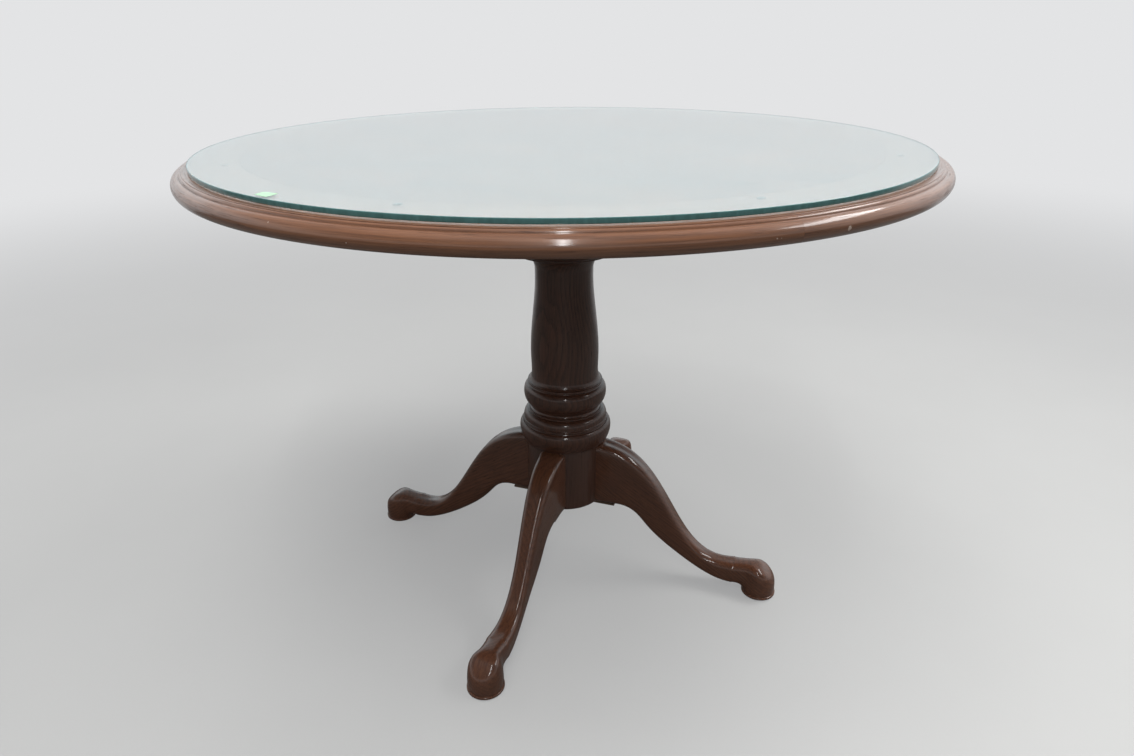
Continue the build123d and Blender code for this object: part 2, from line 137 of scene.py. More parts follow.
share = maths(tree, "MULTIPLY", seen,
              levels(tree, reach, fade_start, fade_end, near_share, 1.0, smooth=True))
glow = node(tree, "Emission", {"Color": surround_colour})
above = node(tree, "MixShader", {0: maths(tree, "MAXIMUM", share, mirrored), 1: ground.outputs[0],
                                 2: glow.outputs[0]}).outputs[0]
below = node(tree, "BsdfTransparent").outputs[0]
under = node(tree, "NewGeometry").outputs["Backfacing"]
tree.links.new(node(tree, "MixShader", {0: under, 1: above, 2: below}).outputs[0], surface)

bm = bmesh.new()
bmesh.ops.create_circle(bm, cap_ends=True, segments=96, radius=floor_radius)
floor = bpy.data.objects.new("floor", bpy.data.meshes.new("floor"))
bm.to_mesh(floor.data)
bm.free()
floor.data.materials.append(material)
bpy.context.scene.collection.objects.link(floor)

# The surround is even for the eye and for soft light. Gloss sees a bright wall behind the
# table, brightest a little above the floor, and a room on the near side that dims higher up.
horizon_level, wall_level, upper_share = 1.01, 1.55, 0.34
near_low, near_high = 0.95, 0.16
soft_share = 0.42
wall_tint = (0.70, 0.79, 0.83, 1)
world = bpy.data.worlds.new("surround")
bpy.context.scene.world = world
world.use_nodes = True
tree = world.node_tree
tree.nodes.clear()
direction = node(tree, "TexCoord").outputs["Generated"]
facing = dot(tree, direction, wall_side)
height = node(tree, "SeparateXYZ", {0: direction}).outputs["Z"]
far_side = maths(tree, "MULTIPLY", levels(tree, height, 0.06, 0.26, horizon_level, wall_level),
                 levels(tree, height, 0.30, 0.62, 1.0, upper_share, smooth=True))
near_side = levels(tree, height, 0.10, 0.34, near_low, near_high, smooth=True)
gloss_level = node(tree, "Mix", {0: levels(tree, facing, -0.75, 0.15, smooth=True), 2: near_side,
                                 3: far_side}).outputs[0]
paths = node(tree, "LightPath").outputs
soft_level = levels(tree, paths["Is Diffuse Ray"], 0, 1, 1.0, soft_share)
strength = node(tree, "Mix", {0: paths["Is Glossy Ray"], 2: soft_level, 3: gloss_level}).outputs[0]
tinted = maths(tree, "MULTIPLY",
               maths(tree, "MULTIPLY", paths["Is Glossy Ray"], levels(tree, facing, 0.3, 0.8)),
               levels(tree, height, 0.05, 0.18, 0.2, 1.0))
tint = mixed_colour(tree, tinted, surround_colour, wall_tint)
sky = node(tree, "Background", {"Color": tint, "Strength": strength})
tree.links.new(sky.outputs[0], node(tree, "OutputWorld").inputs["Surface"])


def softbox(name, width, height, place, aim, brightness, mirrored=True):
    """An area lamp that faces aim and that the camera doesn't see; brightness 1 is white.

    A large one is not mirrored, so that it doesn't hide the wood under the glass from above."""
    lamp = bpy.data.lights.new(name, "AREA")
    lamp.shape = "RECTANGLE"
    lamp.size = width
    lamp.size_y = height
    lamp.energy = brightness * pi * width * height
    holder = bpy.data.objects.new(name, lamp)
    holder.location = place
    holder.rotation_euler = (Vector(aim) - Vector(place)).to_track_quat("-Z", "Y").to_euler()
    holder.visible_camera = False
    holder.visible_glossy = mirrored
    holder.visible_transmission = mirrored
    bpy.context.scene.collection.objects.link(holder)


window_place, window_aim = (1.16, 1.03, 2.85), (0.3, -0.35, 0.7)
ceiling_place, ceiling_aim = (-0.15, -0.95, 3.3), (-0.15, -0.95, 0.7)
softbox("window", 1.3, 1.0, window_place, window_aim, 8.8, mirrored=False)
softbox("window_glint", 1.3, 0.3, window_place, window_aim, 11.0)
softbox("window_far", 1.9, 0.45, (1.80, 0.55, 2.10), (0.40, -0.33, 0.73), 10.0)
softbox("ceiling", 1.7, 2.9, ceiling_place, ceiling_aim, 6.3, mirrored=False)
softbox("ceiling_glint", 1.7, 0.3, ceiling_place, ceiling_aim, 9.0)
softbox("ceiling_strip", 0.14, 3.4, (0.915, -2.514, 2.81), (0, 0, 0.4), 30.0)

camera_heading, camera_fall, camera_roll = 110.03, 24.40, -0.0075
camera = bpy.data.objects.new("camera", bpy.data.cameras.new("camera"))
camera.data.sensor_fit = "HORIZONTAL"
camera.data.sensor_width = 36.0
camera.data.lens = 24.70
camera.location = (0.4126, -1.1219, 0.8951)
look = Euler((radians(90 - camera_fall), 0, radians(camera_heading - 90))).to_matrix()
camera.rotation_euler = (look @ Matrix.Rotation(camera_roll, 3, "Z")).to_euler()
bpy.context.scene.collection.objects.link(camera)
bpy.context.scene.camera = camera
bpy.context.scene.view_settings.view_transform = "Standard"


# ---------------------------------------------------------------- foot glides
# Pressed steel discs plated with nickel, a little domed at the edge, each with its nail driven
# up into a foot. The feet stand 352 mm from the axis, on the four sides.
mm = 0.001
foot_reach = 352.0
glide_radius, glide_thickness = 11.0, 2.0
nail_radius, nail_length, nail_point = 1.3, 14.0, 3.0
side_turns = {"right": 0, "back": 90, "left": 180, "front": 270}


def outline(bm, points, closed=False, steps=6):
    """A half section in the XZ plane from (radius, height, round) in millimetres.

    round 0 keeps a corner, a number rounds it by that much, "flow" lets the curve touch the
    middles of both sides, and "quarter" runs it to both neighbours."""
    corners = [bm.verts.new((r * mm, 0, z * mm)) for r, z, _ in points]
    pairs = list(zip(corners, corners[1:])) + ([(corners[-1], corners[0])] if closed else [])
    for pair in pairs:
        bm.edges.new(pair)
    kinds = {}
    for corner, (_, _, kind) in zip(corners, points):
        kinds.setdefault(kind, []).append(corner)
    for kind, members in kinds.items():
        if kind == 0:
            continue
        offset = {"flow": 50, "quarter": 100}.get(kind) or kind * mm
        count = {"flow": 2 * steps, "quarter": 2 * steps}.get(kind, max(2, steps // 2))
        bmesh.ops.bevel(bm, geom=members, offset=offset, segments=count, profile=0.5,
                        offset_type="PERCENT" if isinstance(kind, str) else "OFFSET",
                        affect="VERTICES", material=-1, clamp_overlap=False)
    bmesh.ops.remove_doubles(bm, verts=bm.verts[:], dist=0.002 * mm)


def spun(bm, sweep=360.0, steps=128):
    """Turn everything in the bmesh round the Z axis."""
    bmesh.ops.spin(bm, geom=bm.verts[:] + bm.edges[:], cent=(0, 0, 0), axis=(0, 0, 1),
                   angle=radians(sweep), steps=steps, use_merge=sweep == 360.0)
    bmesh.ops.remove_doubles(bm, verts=bm.verts[:], dist=0.002 * mm)


def finished(bm, name, materials, body, replaced=(), crease=32.0):
    """Make the piece's object: normals outwards, smooth between creases, riding on its body."""
    bmesh.ops.recalc_face_normals(bm, faces=bm.faces[:])
    for face in bm.faces:
        face.smooth = True
    for edge in bm.edges:
        edge.smooth = edge.calc_face_angle(pi) < radians(crease)
    piece = bpy.data.objects.new(name, bpy.data.meshes.new(name))
    bm.to_mesh(piece.data)
    bm.free()
    for material in materials:
        piece.data.materials.append(material)
    bpy.context.scene.collection.objects.link(piece)
    flats = piece.modifiers.new("flats stay flat", "WEIGHTED_NORMAL")
    flats.keep_sharp = True
    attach(piece, body)
    if replaced:
        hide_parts(*replaced)
    return piece


def verts_in(geometry):
    return [part for part in geometry if isinstance(part, bmesh.types.BMVert)]


def copies(bm, moves):
    """Repeat everything in the bmesh at each matrix, in place of the one at the origin."""
    pattern = bm.verts[:] + bm.edges[:] + bm.faces[:]
    for move in moves:
        made = bmesh.ops.duplicate(bm, geom=pattern)["geom"]
        bmesh.ops.transform(bm, matrix=move, verts=verts_in(made))
    bmesh.ops.delete(bm, geom=verts_in(pattern), context="VERTS")


def round_the_axis(reach, turns):
    """Matrices that carry a shape from the axis out to each direction."""
    return [Matrix.Rotation(radians(turn), 4, "Z") @ Matrix.Translation((reach * mm, 0, 0))
            for turn in turns]


def metal(name, colour, roughness, scratches=0.25, speck=0.12):
    """A metal with fine scratches, cloudy handling marks and dull specks."""
    material, tree, surface = new_material(name)
    place = object_place(tree)
    cloud = noise(tree, place, (60, 60, 60), 4.0)["Fac"]
    fine = noise(tree, place, (900, 900, 120), 3.0)["Fac"]
    spots = levels(tree, noise(tree, place, (420, 420, 420), 2.0)["Fac"], 0.62, 0.72)
    tone = levels(tree, cloud, 0.3, 0.7, 0.82, 1.08)
    body = mixed_colour(tree, maths(tree, "MULTIPLY", spots, speck), scaled(tree, colour[:3], tone),
                        (0.10, 0.075, 0.055, 1))
    rough = maths(tree, "ADD", levels(tree, cloud, 0.3, 0.7, roughness - 0.06, roughness + 0.10),
                  maths(tree, "MULTIPLY", spots, 0.25))
    shader = node(tree, "BsdfPrincipled", {"Base Color": body, "Metallic": 1.0, "Roughness": rough,
                                           "Normal": bumped(tree, fine, scratches, 0.0001)})
    tree.links.new(shader.outputs[0], surface)
    return material


nickel = metal("nickel plate", (0.62, 0.60, 0.56), 0.28)
bm = bmesh.new()
outline(bm, [(0, 0, 0), (glide_radius - 1.6, 0, 1.2), (glide_radius, glide_thickness - 0.4, 0.4),
             (glide_radius, glide_thickness, 0), (nail_radius, glide_thickness, 0.2),
             (nail_radius, glide_thickness + nail_length - nail_point, 0),
             (0, glide_thickness + nail_length, 0)])
spun(bm, steps=64)
copies(bm, round_the_axis(foot_reach, side_turns.values()))
finished(bm, "glides", [nickel], "table", ["foot_glides"])


# ---------------------------------------------------------------- legs
# Four cabriole legs with club feet, each sawn and carved from one blank of oak-like
# hardwood with the grain down its slope, stained brown and lacquered. They slide into the
# hub from below.
def figure_group():
    """The figure of an open-pored hardwood. Position is in metres, Z along the grain, pith at 0."""
    tree = bpy.data.node_groups.new("hardwood figure", "ShaderNodeTree")
    for name, kind in (("Position", "Vector"), ("Ring width", "Float")):
        tree.interface.new_socket(name, in_out="INPUT", socket_type="NodeSocket" + kind)
    for name in ("Growth", "Fibre", "Pores", "Cloud", "Height"):
        tree.interface.new_socket(name, in_out="OUTPUT", socket_type="NodeSocketFloat")
    given = tree.nodes.new("NodeGroupInput").outputs
    result = tree.nodes.new("NodeGroupOutput").inputs
    place = given["Position"]
    drift = node(tree, "VectorMath", {0: noise(tree, place, (9, 9, 2.2))["Color"], 1: (0.5, 0.5, 0.5)},
                 operation="SUBTRACT").outputs[0]
    bent = node(tree, "VectorMath", {0: place, 1: scaled(tree, drift, 0.034)},
                operation="ADD").outputs[0]
    flat = node(tree, "VectorMath", {0: bent, 1: (1, 1, 0)}, operation="MULTIPLY").outputs[0]
    radius = node(tree, "VectorMath", {0: flat}, operation="LENGTH").outputs["Value"]
    ripple = levels(tree, noise(tree, place, (70, 70, 5), 3.0)["Fac"], 0.3, 0.7, -0.22, 0.22)
    rings = maths(tree, "ADD", maths(tree, "DIVIDE", radius, given["Ring width"]), ripple)
    phase = maths(tree, "FRACT", rings)
    growth = maths(tree, "POWER", maths(tree, "MULTIPLY", levels(tree, phase, 0.2, 0.88),
                                        levels(tree, phase, 0.88, 1.0, 1.0, 0.0)), 1.4)
    fibre = levels(tree, noise(tree, place, (520, 520, 9), 4.0)["Fac"], 0.3, 0.7)
    dashes = levels(tree, noise(tree, place, (1250, 1250, 34), 1.0)["Fac"], 0.58, 0.66)
    pores = maths(tree, "MULTIPLY", dashes, levels(tree, growth, 0.0, 0.6, 0.3, 1.0))
    cloud = levels(tree, noise(tree, place, (8, 8, 2.6))["Fac"], 0.3, 0.7)
    height = maths(tree, "SUBTRACT", maths(tree, "MULTIPLY", fibre, 0.25), pores)
    for name, value in (("Growth", growth), ("Fibre", fibre), ("Pores", pores), ("Cloud", cloud),
                        ("Height", height)):
        tree.links.new(value, result[name])
    return tree


figure = figure_group()
# The legs' stain is darker than the rim's and boards': one stain given less brightness as painted
# shade.
shaded_stain_light, shaded_stain_dark = (0.112, 0.044, 0.022), (0.036, 0.0150, 0.0095)
bare_wood = (0.36, 0.28, 0.23, 1)


def stained_wood(name, position, ring_width=0.0048, light=shaded_stain_light, dark=shaded_stain_dark, figured=0.32,
                 coat=0.85, shine=0.10, rough=0.40, gloss=0.15, relief=0.30, marks=None):
    """Stained hardwood under lacquer; position(tree) gives the place in the log.

    marks(tree) gives a mask of chips where the bare wood shows."""
    material, tree, surface = new_material(name)
    grain = tree.nodes.new("ShaderNodeGroup")
    grain.node_tree = figure
    tree.links.new(position(tree), grain.inputs["Position"])
    grain.inputs["Ring width"].default_value = ring_width
    out = grain.outputs
    middle = [sqrt(a * b) for a, b in zip(light, dark)]
    body = mixed_colour(tree, out["Fibre"], (*middle, 1), (*light, 1))
    body = mixed_colour(tree, maths(tree, "MULTIPLY", out["Growth"], figured), body, (*dark, 1))
    body = mixed_colour(tree, maths(tree, "MULTIPLY", out["Pores"], 0.55), body,
                        (*[0.45 * part for part in dark], 1))
    body = scaled(tree, body, levels(tree, out["Cloud"], 0, 1, 0.78, 1.16))
    coating = levels(tree, out["Pores"], 0, 1, coat, coat * 0.6)
    if marks:
        chips = marks(tree)
        body = mixed_colour(tree, chips, body, bare_wood)
        coating = maths(tree, "MULTIPLY", coating, levels(tree, chips, 0, 1, 1.0, 0.0))
    handled = noise(tree, object_place(tree), (22, 22, 22), 3.0)["Fac"]
    roughness = maths(tree, "ADD", levels(tree, out["Pores"], 0, 1, rough, rough + 0.25),
                      levels(tree, handled, 0.3, 0.7, -0.05, 0.07))
    shader = node(tree, "BsdfPrincipled", {
        "Base Color": body, "Roughness": roughness, "Specular IOR Level": gloss,
        "Normal": bumped(tree, out["Height"], relief, 0.0002),
        "Coat Weight": coating, "Coat Roughness": shine})
    tree.links.new(shader.outputs[0], surface)
    return material


def in_log(along, outward, pith, start=(0, 0, 0)):
    """Place in the log of a straight piece: along the grain, and outward from a pith this far off.

    Lengths are in metres, as they are in the texture."""
    along = Vector(along).normalized()
    outward = (Vector(outward) - along * along.dot(outward)).normalized()
    axes = (outward, along.cross(outward), along)

    def position(tree):
        place = node(tree, "VectorMath", {0: object_place(tree), 1: start},
                     operation="SUBTRACT").outputs[0]
        parts = [dot(tree, place, tuple(axis)) for axis in axes]
        return node(tree, "CombineXYZ", {0: maths(tree, "ADD", parts[0], pith), 1: parts[1],
                                         2: parts[2]}).outputs[0]
    return position


def dress(cad_name, material):
    """Give a CAD node that is shown as it is its material."""
    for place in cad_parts[cad_name].material_slots:
        place.material = material


leg_slope = 33.0
hub_radius, foot_radius = 66.8, 27.3
pad_radius, pad_low, pad_high, pad_seat = 28.3, 2.0, 6.0, 9.0
remesh_size = 1.3
worked_past_hub, foot_starts, crest_ends, crest_upward = 3.0, 45.0, 18.0, 0.5
soft_passes, foot_passes = 34, 90
hollow_depth, hollow_half_width = 1.3, 4.5
swell, swell_start, swell_full, swell_fades, swell_end = 0.22, 190.0, 285.0, 305.0, 345.0
root_depth = 2.0


def absorb(bm, other):
    """Move everything in another bmesh into this one."""
    carrier = bpy.data.meshes.new("carrier")
    other.to_mesh(carrier)
    other.free()
    bm.from_mesh(carrier)
    bpy.data.meshes.remove(carrier)


def carved_leg():
    """The right leg with its ankle filled out, a shallow hollow down the top between its ridges,
    every edge eased by hand tools, and its turned pad. The root goes a little way into the hub."""
    rough_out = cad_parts["leg_right"].data.copy()
    bm = bmesh.new()
    bm.from_mesh(rough_out)
    bmesh.ops.remove_doubles(bm, verts=bm.verts[:], dist=0.005 * mm)
    bm.to_mesh(rough_out)
    bm.clear()
    blank = bpy.data.objects.new("leg blank", rough_out)
    bpy.context.scene.collection.objects.link(blank)
    even = blank.modifiers.new("even", "REMESH")
    even.mode = "VOXEL"
    even.voxel_size = remesh_size * mm
    shape = blank.evaluated_get(bpy.context.evaluated_depsgraph_get()).to_mesh()
    bm.from_mesh(shape)
    bpy.data.objects.remove(blank)
    free = [v for v in bm.verts if v.co.x > (hub_radius + worked_past_hub) * mm]
    foot = [v for v in free if v.co.x > (foot_reach - foot_starts) * mm
            and v.co.z > (pad_low + pad_high) / 2 * mm]
    for vert in free:
        x = vert.co.x / mm
        rise = min(max((x - swell_start) / (swell_full - swell_start), 0), 1)
        fall = min(max((swell_end - x) / (swell_end - swell_fades), 0), 1)
        vert.co.y *= 1 + swell * (0.5 - 0.5 * cos(pi * rise)) * (0.5 - 0.5 * cos(pi * fall))
    bm.normal_update()
    for vert in free:
        if vert.normal.z > crest_upward and vert.co.x < (foot_reach - crest_ends) * mm:
            depth = hollow_depth * mm * exp(-(vert.co.y / (hollow_half_width * mm)) ** 2)
            vert.co -= vert.normal * depth
    for passes, chosen in ((soft_passes, free), (foot_passes, foot)):
        for _ in range(passes):
            bmesh.ops.smooth_vert(bm, verts=chosen, factor=0.5, use_axis_x=True, use_axis_y=True,
                                  use_axis_z=True)
    root = [v for v in bm.verts if v.co.x < (hub_radius + 1) * mm]
    bmesh.ops.translate(bm, vec=(-root_depth * mm, 0, 0), verts=root)
    pad = bmesh.new()
    outline(pad, [(0, pad_low, 0), (pad_radius, pad_low, 1.0), (pad_radius, pad_high, 1.2),
                  (foot_radius - 2.2, pad_high + 0.4, 0.3), (foot_radius - 4, pad_seat, 0),
                  (0, pad_seat, 0)])
    spun(pad, steps=96)
    bmesh.ops.translate(pad, vec=(foot_reach * mm, 0, 0), verts=pad.verts[:])
    absorb(bm, pad)
    return bm


carved = carved_leg()
for order, (side, turn) in enumerate(side_turns.items()):
    out_x, out_y = cos(radians(turn)), sin(radians(turn))
    run = (out_x * cos(radians(leg_slope)), out_y * cos(radians(leg_slope)),
           -sin(radians(leg_slope)))
    blank = in_log(run, (-out_y, out_x, 0.2), 0.052 + 0.006 * order, (0, 0, 0.05 * order))
    bm = carved.copy()
    bmesh.ops.rotate(bm, cent=(0, 0, 0), matrix=Matrix.Rotation(radians(turn), 3, "Z"),
                     verts=bm.verts[:])
    finished(bm, f"leg_{side}_carved", [stained_wood(f"leg wood shaded {side}", blank)], "table",
             [f"leg_{side}"], crease=50.0)
carved.free()


# ---------------------------------------------------------------- hub
# A turned drum of the same hardwood, its grain upright. It takes the four legs on sliding
# dovetails, and the foot of the base stands in it.
# The hub is darker than the legs: painted shade under the top.
hub_stain_painted_shade = (0.052, 0.022, 0.013)
dress("leg_hub", stained_wood("hub wood shaded", in_log((0, 0, 1), (0.6, 1, 0), 0.05), light=hub_stain_painted_shade))


# ---------------------------------------------------------------- spider plate and its screws
# A four-armed plate of flat steel bar under the hub, its mill scale left on. Each arm has one
# zinc-plated screw up into the hub and one into its leg.
def softened(name, cad_names, width, material, body="table", crease=30.0, segments=2):
    """Copy a CAD node, merge it into clean faces and ease its outer edges by width millimetres."""
    bm = bmesh.new()
    for cad_name in cad_names:
        bm.from_mesh(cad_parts[cad_name].data)
    bmesh.ops.remove_doubles(bm, verts=bm.verts[:], dist=0.005 * mm)
    bmesh.ops.dissolve_limit(bm, angle_limit=radians(1), verts=bm.verts[:], edges=bm.edges[:])
    sharp = [edge for edge in bm.edges
             if edge.is_manifold and edge.is_convex and edge.calc_face_angle(0) > radians(crease)
             and edge.calc_length() > 12 * width * mm]
    bmesh.ops.bevel(bm, geom=sharp, offset=width * mm, segments=segments, profile=0.5,
                    affect="EDGES", material=-1, clamp_overlap=True)
    return finished(bm, name, [material], body, cad_names)


zinc = metal("zinc plate", (0.56, 0.57, 0.58), 0.34)
steel = metal("mill scale", (0.17, 0.115, 0.085), 0.48, speck=0.35)
softened("spider", ["spider_plate"], 0.6, steel)

shank_radius, head_radius, head_height, point_length = 2.25, 4.5, 3.0, 5.0
screw_core, screw_pitch = shank_radius - 0.45, 1.8
recess_radius, recess_depth, screw_turn = head_radius - 1.8, 1.3, 0.7


def helix(bm, section, pitch, wraps, steps):
    """Wind a small closed section, (radius, height) in millimetres, up the Z axis."""
    thread = bmesh.new()
    corners = [thread.verts.new((r * mm, 0, z * mm)) for r, z in section]
    for pair in zip(corners, corners[1:] + corners[:1]):
        thread.edges.new(pair)
    bmesh.ops.spin(thread, geom=thread.verts[:] + thread.edges[:], cent=(0, 0, 0), axis=(0, 0, 1),
                   dvec=(0, 0, pitch * mm / steps), angle=2 * pi * wraps, steps=steps * wraps)
    bmesh.ops.holes_fill(thread, edges=[edge for edge in thread.edges if edge.is_boundary],
                         sides=len(section))
    absorb(bm, thread)


def screw_set(name, cad_name, places, head_z, tip_z):
    """Round-headed wood screws, heads down, with a crossed recess and a cut thread."""
    bm = bmesh.new()
    neck_z = head_z + head_height
    outline(bm, [(0, head_z, 0), (head_radius - 1.2, head_z, 1.0), (head_radius, head_z + 1.2, 0.9),
                 (head_radius, neck_z, 0.2), (screw_core, neck_z, 0.2),
                 (screw_core, tip_z - point_length, 0), (0, tip_z, 0)])
    spun(bm, steps=32)
    recess = [face for face in bm.faces if face.calc_center_median().z < (head_z + 0.05) * mm
              and face.calc_center_median().xy.length < recess_radius * mm]
    bmesh.ops.inset_region(bm, faces=recess, thickness=0.5 * mm, depth=0)
    # Between the arms of the cross the recess is drawn in to the middle, and all of it is sunk.
    for vert in {v for face in recess for v in face.verts}:
        quarter = Vector((*vert.co.xy, 0)).angle(Vector((1, 0, 0)), 0) * 2 / pi % 1
        vert.co.xy *= 0.45 + 0.75 * (2 * abs(quarter - 0.5)) ** 3
        vert.co.z += recess_depth * mm
    helix(bm, ((shank_radius - 0.6, neck_z + 2), (shank_radius, neck_z + 2.35),
               (shank_radius - 0.6, neck_z + 2.7)), screw_pitch,
          int((tip_z - neck_z - 8) / screw_pitch), 16)
    copies(bm, [Matrix.Translation((x * mm, y * mm, 0)) @ Matrix.Rotation(screw_turn * k, 4, "Z")
                for k, (x, y) in enumerate(places)])
    finished(bm, name, [zinc], "table", [cad_name])


hub_bottom, spider_underside, screw_bite = 131.0, 127.0, 16.0
hub_screw_reach, leg_screw_reach = 32.0, 81.8
spider_places = [(reach * cos(radians(turn)), reach * sin(radians(turn)))
                 for turn in side_turns.values() for reach in (hub_screw_reach, leg_screw_reach)]
screw_set("plate_screws", "spider_screws", spider_places, spider_underside - head_height,
          hub_bottom + screw_bite)


# ---------------------------------------------------------------- turned base
# Bead, ring, neck, stepped dome and bulb, turned in one piece; its colour is darker than the
# legs' as painted shade. Its tenon stands in the hub, and its bore takes the tenon of the shaft.
column_log = in_log((0.035, 0.02, 1), (-0.4, -1, 0), 0.062, (0, 0, 0.3))
# Darker than the legs' stain: painted shade under the top.
column_light_shaded, column_dark_shaded = (0.074, 0.0285, 0.0152), (0.021, 0.0090, 0.0058)
column_wood_shaded = stained_wood("turned wood shaded", column_log, ring_width=0.0043, light=column_light_shaded,
                           dark=column_dark_shaded, figured=0.5, coat=0.6, shine=0.16)
rod_bore = 7.0
bm = bmesh.new()
outline(bm, [(25.2, 354.7, 0), (61.4, 354.7, 0), (62.8, 354.7, 1.2), (62.8, 350.7, 1.2),
             (61.4, 350.7, 0.2), (62.4, 349.1, 0.3), (66.0, 346.6, "flow"), (69.4, 340.0, "flow"),
             (69.4, 326.0, "flow"), (64.7, 317.1, "flow"), (60.7, 313.1, 0.5),
             (57.0, 310.2, "flow"), (57.0, 306.6, "flow"), (59.5, 304.3, 0), (61.8, 304.3, 0.5),
             (61.8, 301.8, 0.2), (66.5, 300.1, "flow"), (70.0, 295.0, "flow"),
             (70.8, 287.6, 0.6), (69.4, 287.6, 0), (70.6, 286.0, 0),
             (72.0, 286.0, 1.2), (72.0, 282.4, 1.2), (70.6, 282.4, 0), (71.5, 280.8, 0),
             (72.9, 280.8, 0.4), (75.8, 278.2, "flow"), (77.9, 272.5, "flow"), (77.9, 264.5, "flow"),
             (75.0, 253.0, "flow"), (70.7, 246.0, 0.6), (30, 246, 0), (30, 218, 0.5),
             (rod_bore, 218, 0), (rod_bore, 316.5, 0), (25.2, 316.5, 0)], closed=True)
spun(bm, steps=160)
finished(bm, "base", [column_wood_shaded], "table", ["base_turning"])


# ---------------------------------------------------------------- shaft
# The column proper, of the same wood as the base: a gently bellied shaft under a cove, a
# capital and a bell that spreads to the block. Its tenons go into the base and the block.
bm = bmesh.new()
outline(bm, [(25, 354.7, 0), (61.0, 354.7, 0.4), (57.3, 359.0, "flow"), (55.3, 367.0, "flow"),
             (55.6, 385.0, "flow"), (56.5, 408.0, "flow"), (54.6, 444.0, "flow"),
             (51.0, 476.0, "flow"), (47.6, 509.0, "flow"), (46.6, 528.0, "flow"),
             (46.6, 541.0, 0), (46.8, 555.0, "flow"), (57.0, 571.3, "flow"), (80.6, 575.0, 0),
             (81.85, 575.0, 0.3), (81.85, 577.5, 0), (90.0, 577.5, "quarter"), (90.0, 587.5, 0),
             (90.0, 597.5, "quarter"), (81.85, 597.5, 0), (72.0, 597.5, 0), (72.0, 600.0, 0),
             (72.5, 620.0, "flow"), (82.5, 643.0, "flow"), (98.0, 652.0, 0.5), (98.0, 666.0, 0.8),
             (30, 666, 0), (30, 690, 0.5), (rod_bore, 690, 0), (rod_bore, 316.7, 0),
             (25, 316.7, 0.5)], closed=True)
spun(bm, steps=160)
finished(bm, "shaft", [column_wood_shaded], "table", ["column_shaft"])


# ---------------------------------------------------------------- tie rod, nuts and washers
# A 12 mm steel rod down the axis, plated with zinc and threaded at both ends, clamps block,
# column, hub and plate between two hexagon nuts, each on a washer.
rod_radius, thread_depth, thread_pitch, threaded = 6.0, 0.75, 1.75, 34.0
rod_low, rod_high = 110.5, 709.5
rod_core = rod_radius - thread_depth
bar = bmesh.new()
outline(bar, [(0, rod_low, 0), (rod_core, rod_low, 0.6), (rod_core, rod_low + threaded, 0),
              (rod_radius, rod_low + threaded + 1, 0), (rod_radius, rod_high - threaded - 1, 0),
              (rod_core, rod_high - threaded, 0), (rod_core, rod_high, 0.6), (0, rod_high, 0)])
spun(bar, steps=48)
wraps = int((threaded - 3) / thread_pitch)
for start in (rod_low + 1.0, rod_high - threaded + 1.0):
    helix(bar, ((rod_core - 0.1, start), (rod_radius - 0.02, start + 0.75),
                (rod_radius - 0.02, start + 0.95), (rod_core - 0.1, start + 1.7)),
          thread_pitch, wraps, 32)
finished(bar, "rod", [zinc], "table", ["tie_rod"])

nut_flats, nut_height, nut_chamfer = 19.0, 10.0, 30.0
nut_lows = (114.5, 695.5)
bm = bmesh.new()
bmesh.ops.create_circle(bm, segments=6, radius=nut_flats / 2 / cos(pi / 6) * mm)
bmesh.ops.subdivide_edges(bm, edges=bm.edges[:], cuts=5)
bmesh.ops.create_circle(bm, segments=36, radius=(rod_radius + 0.05) * mm)
bmesh.ops.bridge_loops(bm, edges=bm.edges[:])
raised = bmesh.ops.extrude_face_region(bm, geom=bm.faces[:])["geom"]
bmesh.ops.translate(bm, vec=(0, 0, nut_height * mm), verts=verts_in(raised))
for vert in bm.verts:
    beyond = max(0.0, vert.co.xy.length - nut_flats / 2 * 0.99 * mm) * tan(radians(nut_chamfer))
    vert.co.z += beyond if vert.co.z < nut_height / 2 * mm else -beyond
copies(bm, [Matrix.Translation((0, 0, low * mm)) for low in nut_lows])
finished(bm, "nuts", [zinc], "table", ["rod_nuts"], crease=20.0)

washer_bore, washer_radius, washer_thickness = rod_radius + 0.2, 14.0, 2.5
washer_lows = (124.5, 693.0)
bm = bmesh.new()
outline(bm, [(washer_bore, 0, 0.2), (washer_radius, 0, 0.5), (washer_radius, washer_thickness, 0.5),
             (washer_bore, washer_thickness, 0.2)], closed=True)
spun(bm, steps=64)
copies(bm, [Matrix.Translation((0, 0, low * mm)) for low in washer_lows])
finished(bm, "washers", [zinc], "table", ["rod_washers"])


# ---------------------------------------------------------------- block and battens
# Plain beech under the top, where it is out of sight: a chamfered block that takes the
# column, and two battens that keep the boards flat. All are screwed up into the boards.
beech_light, beech_dark = (0.50, 0.30, 0.165), (0.30, 0.155, 0.075)


def plain_beech(name, position):
    return stained_wood(name, position, ring_width=0.0035, light=beech_light, dark=beech_dark,
                        coat=0.12, shine=0.3, rough=0.55, relief=0.2)


block_wood = plain_beech("block wood", in_log((1, 0, 0), (0, 0.3, 1), -0.60))
softened("block", ["mounting_block"], 1.0, block_wood)
for side, sign in (("left", -1), ("right", 1)):
    wood = plain_beech(f"batten wood {side}", in_log((0.01, 1, 0.004), (sign, 0, 0.5), -0.30))
    softened(f"batten_{side}_eased", [f"batten_{side}"], 0.8, wood)


